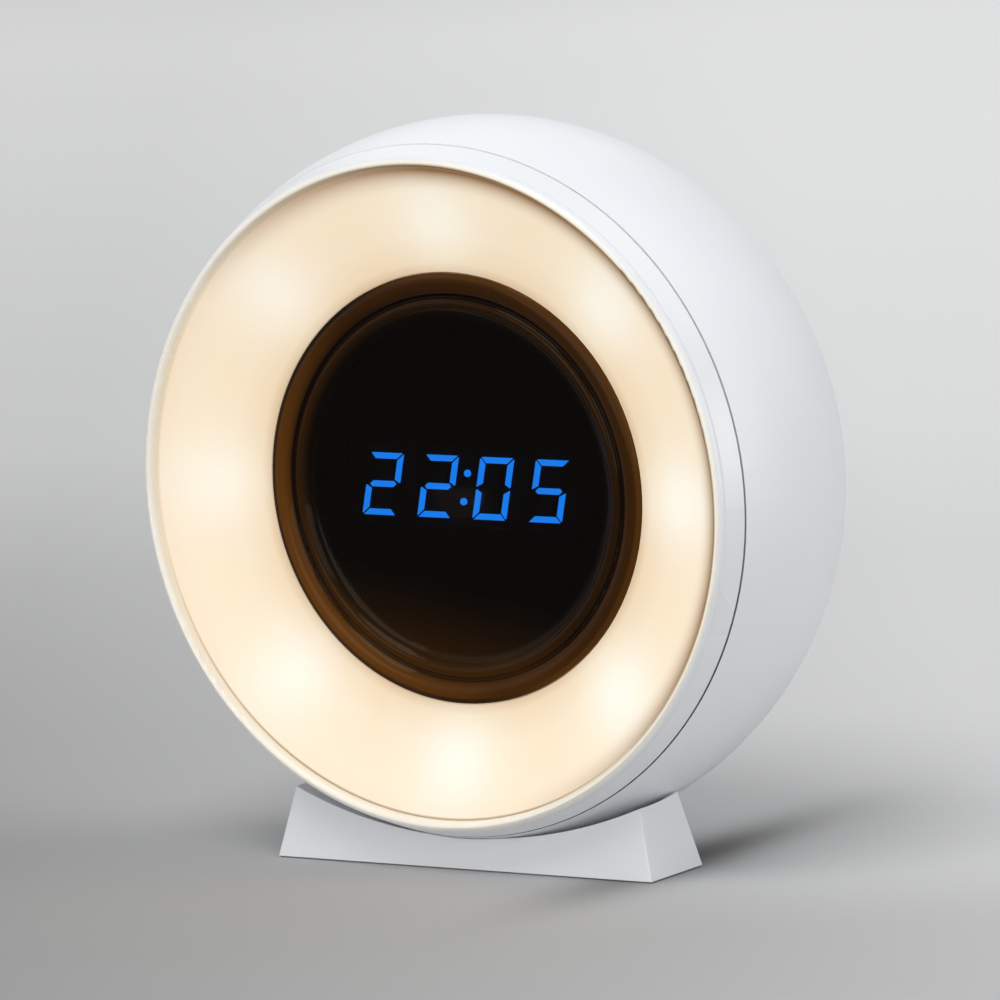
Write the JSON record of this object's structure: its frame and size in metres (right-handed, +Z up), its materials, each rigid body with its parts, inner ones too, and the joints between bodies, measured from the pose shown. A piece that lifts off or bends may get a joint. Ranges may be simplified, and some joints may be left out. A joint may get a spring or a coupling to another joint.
{
  "type": "sunrise alarm clock",
  "caption": "Round bedside wake-up light on a wedge foot: glowing dished ring round a smoked digital display, push buttons, speaker and power inlet on the flat back.",
  "frame": {"origin": "centre of the foot's underside, on the table", "axes": "+Z up, the display faces -Y, +X to the right of someone facing the display"},
  "size_m": [0.1754, 0.0736, 0.1797],
  "materials": {
    "shell_white": "satin moulded white",
    "bezel_ivory": "polished moulded white",
    "foot_white": "satin moulded white",
    "door_white": "satin moulded white",
    "opal_diffuser": "glowing opal, warm white light behind",
    "smoked_lens": "polished smoked brown-black",
    "lit_blue": "lit blue segments",
    "unlit_grey": "unlit segments",
    "mask_black": "black film",
    "module_black": "black potted module",
    "adhesive": "black adhesive tape",
    "frame_white": "moulded white",
    "reflector_white": "bright white",
    "light_board_white": "white coated aluminium board",
    "led_yellow": "phosphor coated lights",
    "board_green": "green solder mask",
    "chip_black": "moulded chips",
    "connector_white": "natural nylon sockets",
    "ribbon_grey": "flat ribbon",
    "lead_red": "lead insulation",
    "lead_black": "lead insulation",
    "screw_steel": "zinc-plated steel",
    "jack_black": "moulded black",
    "pin_brass": "brass",
    "basket_steel": "pressed steel",
    "magnet_dark": "ferrite",
    "cone_paper": "black paper",
    "gasket_foam": "foam gasket",
    "cell_steel": "nickel-plated steel can",
    "contact_brass": "plated spring brass",
    "key_grey": "soft matt grey-white",
    "plunger_black": "moulded black",
    "switch_grey": "moulded switch bodies",
    "ballast_steel": "painted steel",
    "pad_grey": "soft anti-slip rubber"
  },
  "bodies": {
    "root": {"ballast_bar": "ballast_steel", "battery_contact_minus": "contact_brass", "battery_contact_plus": "contact_brass", "board_chips": "chip_black", "board_connectors": "connector_white", "board_screws": "screw_steel", "case_screws": "screw_steel", "coin_cell": "cell_steel", "colon_dots": "lit_blue", "diffuser_ring": "opal_diffuser", "display_lens": "smoked_lens", "display_mask": "mask_black", "display_module": "module_black", "foot": "foot_white", "foot_base_plate": "ballast_steel", "foot_pad": "pad_grey", "foot_screws": "screw_steel", "foot_weights": "ballast_steel", "frame_screws": "screw_steel", "front_bezel": "bezel_ivory", "inner_frame": "frame_white", "jack_housing": "jack_black", "jack_pin": "pin_brass", "key_board": "board_green", "key_board_screws": "screw_steel", "key_ribbon": "ribbon_grey", "key_switches": "switch_grey", "lens_adhesive_ring": "adhesive", "light_board": "light_board_white", "light_lead": "lead_red", "light_reflector": "reflector_white", "lit_segments": "lit_blue", "main_board": "board_green", "power_board": "board_green", "power_board_screws": "screw_steel", "power_lead": "lead_red", "rear_shell": "shell_white", "ring_leds": "led_yellow", "speaker_basket": "basket_steel", "speaker_cone": "cone_paper", "speaker_gasket": "gasket_foam", "speaker_lead": "lead_black", "speaker_magnet": "magnet_dark", "speaker_screws": "screw_steel", "unlit_segments": "unlit_grey"},
    "snooze_key": {"snooze_button": "key_grey", "snooze_plunger": "plunger_black"},
    "time_key": {"time_button": "key_grey", "time_plunger": "plunger_black"},
    "alarm_key": {"alarm_button": "key_grey", "alarm_plunger": "plunger_black"},
    "sound_key": {"sound_button": "key_grey", "sound_plunger": "plunger_black"},
    "minus_key": {"minus_button": "key_grey", "minus_plunger": "plunger_black"},
    "light_key": {"light_button": "key_grey", "light_plunger": "plunger_black"},
    "plus_key": {"plus_button": "key_grey", "plus_plunger": "plunger_black"},
    "battery_cover": {"battery_door": "door_white"}
  },
  "joints": [
    {"name": "snooze_press", "type": "slide", "parent": "root", "child": "snooze_key", "axis": [0, -1, 0], "range_m": [0, 0.001], "stiffness_N_per_m": 2200},
    {"name": "time_press", "type": "slide", "parent": "root", "child": "time_key", "axis": [0, -1, 0], "range_m": [0, 0.001], "stiffness_N_per_m": 1600},
    {"name": "alarm_press", "type": "slide", "parent": "root", "child": "alarm_key", "axis": [0, -1, 0], "range_m": [0, 0.001], "stiffness_N_per_m": 1600},
    {"name": "sound_press", "type": "slide", "parent": "root", "child": "sound_key", "axis": [0, -1, 0], "range_m": [0, 0.001], "stiffness_N_per_m": 1600},
    {"name": "minus_press", "type": "slide", "parent": "root", "child": "minus_key", "axis": [0, -1, 0], "range_m": [0, 0.001], "stiffness_N_per_m": 1600},
    {"name": "light_press", "type": "slide", "parent": "root", "child": "light_key", "axis": [0, -1, 0], "range_m": [0, 0.001], "stiffness_N_per_m": 1600},
    {"name": "plus_press", "type": "slide", "parent": "root", "child": "plus_key", "axis": [0, -1, 0], "range_m": [0, 0.001], "stiffness_N_per_m": 1600},
    {"name": "battery_door_lift", "type": "slide", "parent": "root", "child": "battery_cover", "axis": [0, 1, 0], "range_m": [0, 0.012]}
  ]
}
